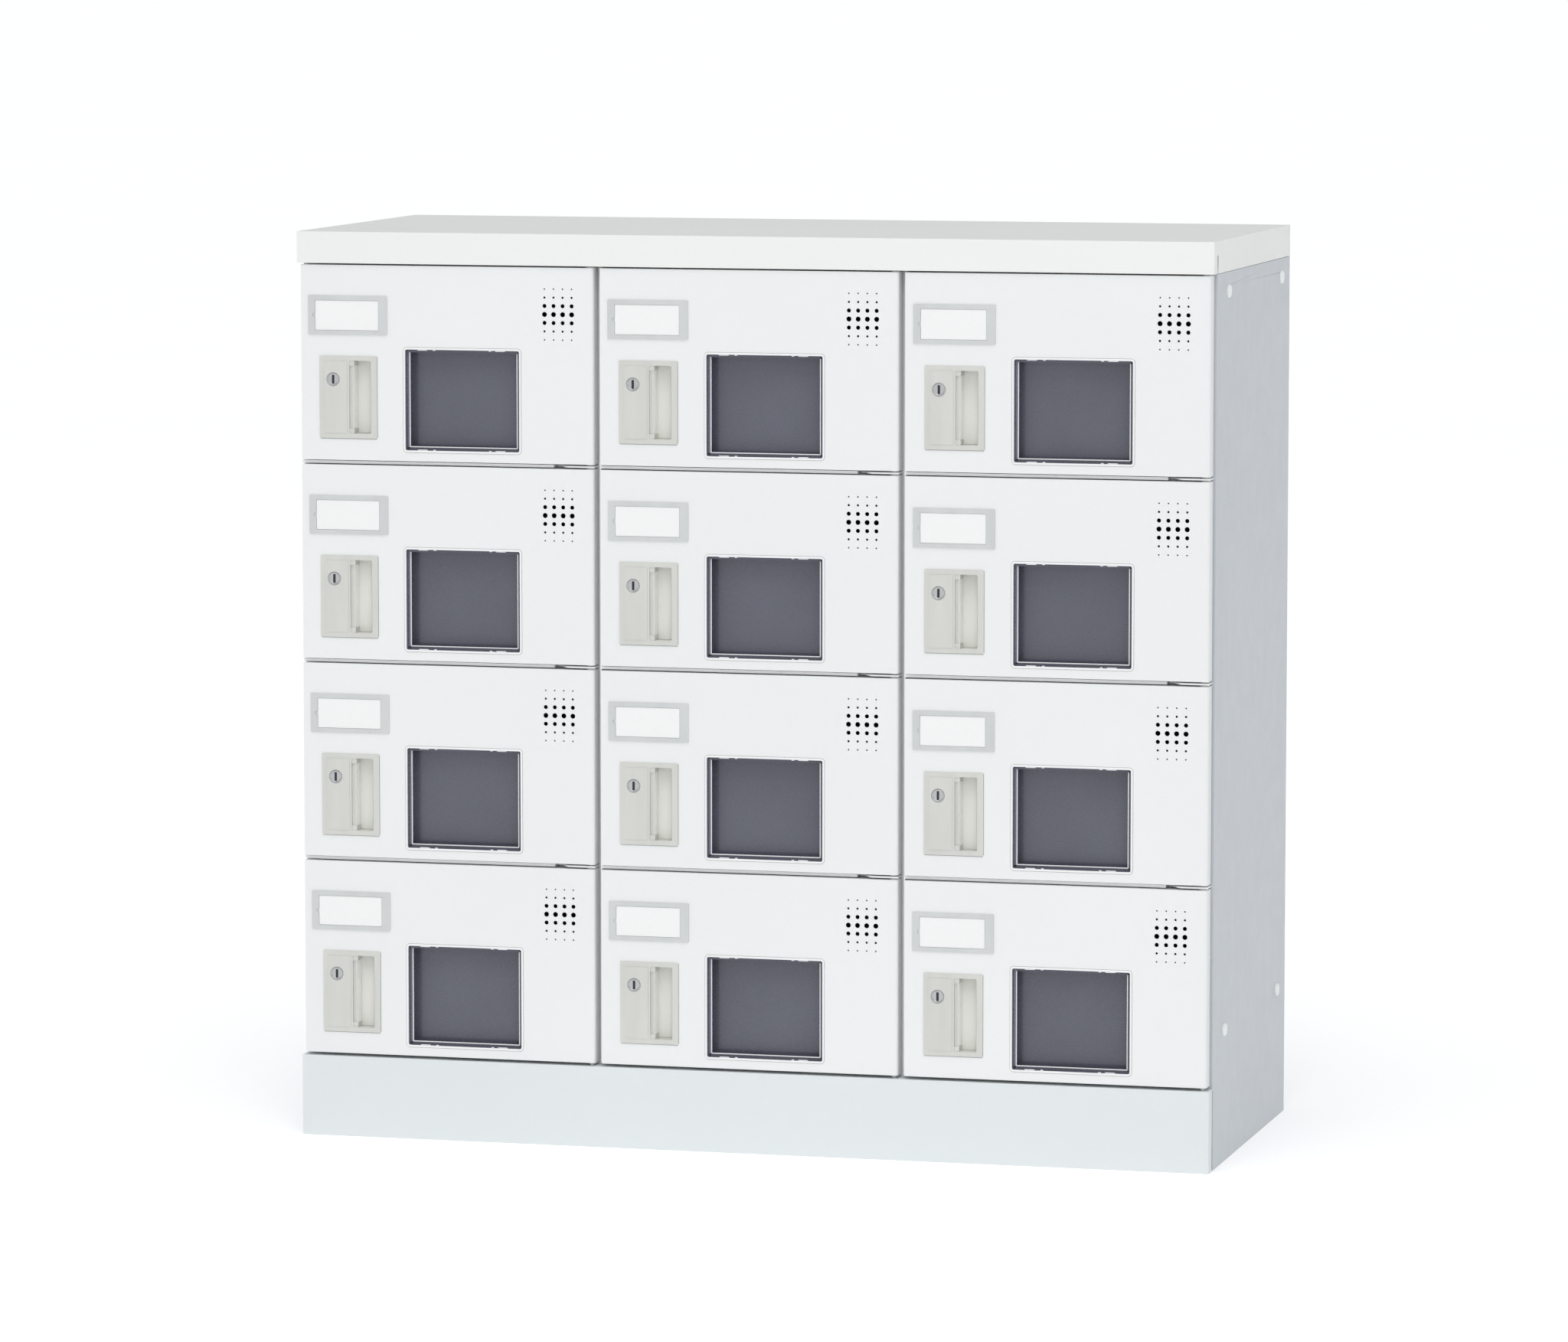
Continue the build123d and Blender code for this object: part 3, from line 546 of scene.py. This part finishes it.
def lock_and_card(place):
    """The case, card frame and bushes as rounded copies, the pocket's and case's details, and the card."""
    body, node = f"door_{place}", f"lock_case_{place}"
    solids = cad_solids(node)
    for (name, material, width), solid in zip(CASE_PIECES, solids):
        piece = add_piece(f"{name}_{place}", *solid, material, body, "beige_plastic")
        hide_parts(node)
        round_edges(piece, width * MM)
    housing = np.array(solids[0][0])
    finger_pocket(place, housing)
    case_shadow(place, housing)
    corners = np.array(solids[1][0])
    left, front, top = corners[:, 0].min(), corners[:, 1].min(), corners[:, 2].max()
    x, z, width, height = (value * MM for value in CARD_OPENING)
    across = (left + x + CARD_MARGIN, left + x + width - CARD_MARGIN)
    upright = (top - z - height + CARD_MARGIN, top - z - CARD_MARGIN)
    sheet_piece(f"name_card_{place}", (across, upright), front + CARD_RECESS - CARD_LIFT, CARD_THICKNESS,
                CARD_CROWN, CARD, body, "beige_plastic")


def finger_pocket(place, housing):
    """The pocket's floor in a paler plastic as painted light, the web behind its grip rib, a near-white sheet
    on the rib's right face as painted light and a dark strip along its right wall as painted shadow.
    """
    body = f"door_{place}"
    left = housing[:, 0].min() + POCKET[0] * MM
    plate = housing[:, 1].min() + FIELD
    top = housing[:, 2].max() - POCKET[1] * MM
    right, bottom = left + POCKET[2] * MM, top - POCKET[3] * MM
    upright = (bottom + POCKET_BLOCK, top - POCKET_BLOCK)
    web = ((left + GRIP_WEB[0], left + GRIP_WEB[1]), upright)
    sheet_piece(f"grip_web_{place}", web, plate + GRIP_WEB_DEPTH[0], GRIP_WEB_DEPTH[1], 0.0, BEIGE_PLASTIC,
                body, "beige_plastic")
    # pocket floor in the paler plastic: painted light
    inside = ((left + FLOOR_MARGIN, right - FLOOR_MARGIN), (bottom + FLOOR_MARGIN, top - FLOOR_MARGIN))
    sheet_piece(f"pocket_floor_{place}", inside, plate + POCKET_DEPTH - FLOOR_MARGIN, FLOOR_THICKNESS,
                FLOOR_CROWN, BRIGHTENED_POCKET_PLASTIC, body, "beige_plastic")
    # near-white sheet on the rib's right face: painted light over its shade
    side = ((left + GRIP_SIDE[0], left + GRIP_SIDE[1]), upright)
    sheet_piece(f"grip_side_painted_light_{place}", side, plate + GRIP_SIDE_DEPTH[0], GRIP_SIDE_DEPTH[1], 0.0, RIB_SIDE_PAINTED_LIGHT,
                body, "beige_plastic", FEW_STEPS)
    # painted shadow: a dark strip along the pocket's right wall
    edge = ((right - SHADOW_LINE_WIDTH, right - 0.02 * MM), (bottom + POCKET_SHADOW_MARGIN, top - POCKET_SHADOW_MARGIN))
    sheet_piece(f"pocket_shadow_line_{place}", edge, plate + POCKET_SHADOW_DEPTH[0], POCKET_SHADOW_DEPTH[1], 0.0,
                SHADOW_SEAM, body, "beige_plastic")


def case_shadow(place, housing):
    """Painted shadow: dark strips under the case and along its right edge, where it stands proud of the door.
    """
    low, high = housing.min(axis=0), housing.max(axis=0)
    face = low[1] + FIELD + CASE_PLATE - CASE_SHADOW_PROUD
    runs = {"under": ((low[0] + CASE_SHADOW_MARGIN, high[0] - CASE_SHADOW_END),
                      (low[2] - CASE_SHADOW_UNDER, low[2])),
            "right": ((high[0], high[0] + CASE_SHADOW_RIGHT),
                      (low[2] + CASE_SHADOW_MARGIN, high[2] - CASE_SHADOW_MARGIN))}
    for side, box in runs.items():
        sheet_piece(f"case_shadow_strip_{side}_{place}", box, face, CASE_SHADOW_THICKNESS, 0.0, SHADOW_SEAM,
                    f"door_{place}", "beige_plastic", FEW_STEPS)


# ---- lock plug ----
PLUG_RADIUS = 6.0 * MM
PLUG_ROUNDING = 0.2 * MM
FACE_SETBACK = 0.5 * MM      # plug's face behind its rim
FACE_REACH = 0.1 * MM        # corners this near the front belong to the face
# radius and depth in mm of the turned rim and of the dark ring of painted shadow round the bore
PLUG_RIM = ((6.0, 0.9), (6.0, 0.3), (5.9, 0.1), (5.65, 0.0), (5.2, 0.02), (4.9, 0.2), (4.8, 0.5), (4.8, 0.9),
            (6.0, 0.9))
BORE_SHADOW_RING = ((6.75, 0.6), (6.75, 0.27), (6.1, 0.27), (6.1, 0.6), (6.75, 0.6))
KEYWAY_HALF_WIDTH = 1.25 * MM
KEYWAY_HALF_HEIGHT = 4.3 * MM
KEYWAY_PROUD = 0.05 * MM
KEYWAY_DEPTH = 0.2 * MM
KEYWAY_POWER = 8


def lock_plug(place):
    """The plug as a rounded copy with its face set back, a turned rim round it, a near-black plate in the
    keyway's mouth as painted shade and a dark ring round the bore as painted shadow."""
    node, body = f"lock_plug_{place}", f"lock_{place}"
    low, high = node_box(node)
    corners, faces = cad_solids(node)[0]
    corners = [(x, y + FACE_SETBACK if y < low[1] + FACE_REACH else y, z) for x, y, z in corners]
    copy = add_piece(node + "_shell", corners, faces, LOCK_CHROME, body, "lock_chrome")
    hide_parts(node)
    round_edges(copy, PLUG_ROUNDING)
    centre = np.array(((low[0] + high[0]) / 2, low[1], high[2] - PLUG_RADIUS))
    inward = (0, 1, 0)
    turned_piece(f"plug_rim_{place}", centre, inward, [(r * MM, h * MM) for r, h in PLUG_RIM], LOCK_CHROME,
                 body, "lock_chrome")
    face = low[1] + FACE_SETBACK
    mouth = ((centre[0] - KEYWAY_HALF_WIDTH, centre[0] + KEYWAY_HALF_WIDTH),
             (face - KEYWAY_PROUD, face + KEYWAY_DEPTH),
             (centre[2] - KEYWAY_HALF_HEIGHT, centre[2] + KEYWAY_HALF_HEIGHT))
    # near-black plate in the keyway's mouth: painted shade
    pillow_piece(f"keyway_shade_plate_{place}", mouth, KEYWAY_POWER, KEYWAY_SHADE, body, "lock_chrome")
    # dark ring round the bore: painted shadow
    turned_piece(f"bore_shadow_ring_{place}", centre, inward, [(r * MM, h * MM) for r, h in BORE_SHADOW_RING],
                 SHADOW_SEAM, f"door_{place}", "beige_plastic")


DOOR_ROUNDING = 0.5 * MM
for each_place in PLACES:
    softened(f"door_panel_{each_place}", f"door_{each_place}", DOOR_PAINT, DOOR_ROUNDING, "door_paint")
    window(each_place)
    lock_and_card(each_place)
    lock_plug(each_place)

# ---- casing ----
CAP_ROUNDING = 0.6 * MM
SHEET_ROUNDING = 0.3 * MM
RIB_DEPTH = 5.0 * MM         # behind the doors' faces
RIB_CLEARANCE = 1.0 * MM
POST_RIB = 1.2 * MM          # width of the upright ribs, clear of the doors as they swing


def gap_ribs():
    """Pale folded edges of the frame that stand in the gaps between the doors, clear of the doors and their
    hinges."""
    back = node_box("front_frame")[0][1]
    plates = [np.array(corners) for corners, _ in cad_solids("hinges")]
    boxes = {place: node_box(f"door_panel_{place}") for place in PLACES}
    for place, (low, high) in boxes.items():
        row, column = int(place[1]), int(place[3])
        below, beside = boxes.get(f"r{row + 1}c{column}"), boxes.get(f"r{row}c{column + 1}")
        if below is not None:
            ends = [plate[:, 0].min() for plate in plates if low[0] < plate[:, 0].mean() < high[0]]
            rib = ((low[0] - RIB_CLEARANCE, min(ends) - RIB_CLEARANCE),
                   (below[1][2] + RIB_CLEARANCE, low[2] - RIB_CLEARANCE))
            gap_rib(f"row_rib_{place}", rib, low[1] + RIB_DEPTH, back)
        if beside is not None and row == 1:
            right = beside[0][0] - RIB_CLEARANCE
            rib = ((right - POST_RIB, right), (boxes[f"r4c{column}"][0][2], high[2]))
            gap_rib(f"post_rib_c{column}", rib, low[1] + RIB_DEPTH, back)


def gap_rib(name, box, front, back):
    # the ribs take the brightened frame paint: painted light in the gaps' shade
    sheet_piece(name, box, front, back - front, 0.0, BRIGHTENED_FRAME_PAINT, "cabinet", "casing_paint", FEW_STEPS)


softened("top_cap", "cabinet", CAP_PAINT, CAP_ROUNDING, "casing_paint")
# plinth in a darker copy of the white paint: painted shade
softened("plinth", "cabinet", SHADED_PLINTH_PAINT, CAP_ROUNDING, "casing_paint")
# side panels in the darkened, bluer copy of the white paint: painted shade
softened("side_panel_left", "cabinet", SHADED_SIDE_PAINT, SHEET_ROUNDING, "casing_paint")
softened("side_panel_right", "cabinet", SHADED_SIDE_PAINT, SHEET_ROUNDING, "casing_paint")
# front frame in the brightened copy of the white paint: painted light
softened("front_frame", "cabinet", BRIGHTENED_FRAME_PAINT, SHEET_ROUNDING, "casing_paint")
softened("bolt_hole_plugs", "cabinet", WHITE_PLASTIC, SHEET_ROUNDING, "white_plastic")
# hinge plates in the paler paint: painted light in the gaps
softened("hinges", "cabinet", BRIGHTENED_HINGE_PAINT, SHEET_ROUNDING, "hinge_steel")
# the inside in the same brightened frame paint: painted light
for name in ("shelves", "bottom_panel", "dividers", "inner_top", "back_panel"):
    softened(name, "cabinet", BRIGHTENED_FRAME_PAINT, SHEET_ROUNDING, "casing_paint")
gap_ribs()


# ---- floor, light and camera ----
FLOOR_HALF = 200.0


def pale_floor():
    material, nodes, links, shader = blank_material("floor_paint")
    patches = noise(nodes, links, 0.6, 2)
    tinted(nodes, links, shader, patches, (0.86, 0.865, 0.87), 0.004)
    shader.inputs["Roughness"].default_value = 0.9
    shader.inputs["Emission Color"].default_value = (1, 1, 1, 1)
    shader.inputs["Emission Strength"].default_value = 0.30
    mesh = bpy.data.meshes.new("floor")
    half = FLOOR_HALF
    corners = [(-half, -half, 0), (half, -half, 0), (half, half, 0), (-half, half, 0)]
    mesh.from_pydata(corners, [], [(0, 1, 2, 3)])
    mesh.materials.append(material)
    floor = bpy.data.objects.new("floor", mesh)
    scene.collection.objects.link(floor)


def soft_light():
    """A pale sky, brightest near the horizon, a broad soft sun from high in front and a large lit panel in
    front, a little to the viewer's right and above."""
    world = bpy.data.worlds.new("studio")
    world.use_nodes = True
    nodes, links = world.node_tree.nodes, world.node_tree.links
    background = nodes["Background"]
    background.inputs["Color"].default_value = (0.97, 0.985, 1.0, 1)
    direction = nodes.new("ShaderNodeTexCoord")
    parts = nodes.new("ShaderNodeSeparateXYZ")
    fade = nodes.new("ShaderNodeMapRange")
    fade.inputs["From Min"].default_value = 0.0
    fade.inputs["From Max"].default_value = 0.3
    fade.inputs["To Min"].default_value = 0.85
    fade.inputs["To Max"].default_value = 0.5
    links.new(direction.outputs["Generated"], parts.inputs["Vector"])
    links.new(parts.outputs["Z"], fade.inputs["Value"])
    links.new(fade.outputs["Result"], background.inputs["Strength"])
    scene.world = world
    sun = bpy.data.lights.new("key", "SUN")
    sun.energy = 1.15
    sun.angle = math.radians(45)
    lamp = bpy.data.objects.new("key", sun)
    towards = Vector((0.05, -0.47, 0.88))
    lamp.rotation_euler = towards.to_track_quat("Z", "Y").to_euler()
    scene.collection.objects.link(lamp)
    panel = bpy.data.lights.new("panel", "AREA")
    panel.shape, panel.size, panel.energy = "SQUARE", 2.2, 20.0
    lamp = bpy.data.objects.new("panel", panel)
    lamp.location = (1.3, -4.6, 2.6)
    aim = Vector((0.0, -0.19, 0.45)) - lamp.location
    lamp.rotation_euler = aim.to_track_quat("-Z", "Y").to_euler()
    scene.collection.objects.link(lamp)


def camera():
    """Long lens a little to the viewer's right of the locker and just above its top."""
    data = bpy.data.cameras.new("camera")
    data.sensor_width = 36.0
    data.lens = 167.7
    view = bpy.data.objects.new("camera", data)
    front = cad_low[1]
    view.location = (1.783, front - 6.691, 1.198)
    yaw, pitch = 0.2555, 0.1053
    forward = Vector((-math.sin(yaw) * math.cos(pitch), math.cos(yaw) * math.cos(pitch), -math.sin(pitch)))
    view.rotation_euler = forward.to_track_quat("-Z", "Y").to_euler()
    scene.collection.objects.link(view)
    scene.camera = view


pale_floor()
soft_light()
camera()
scene.view_settings.view_transform = "Standard"
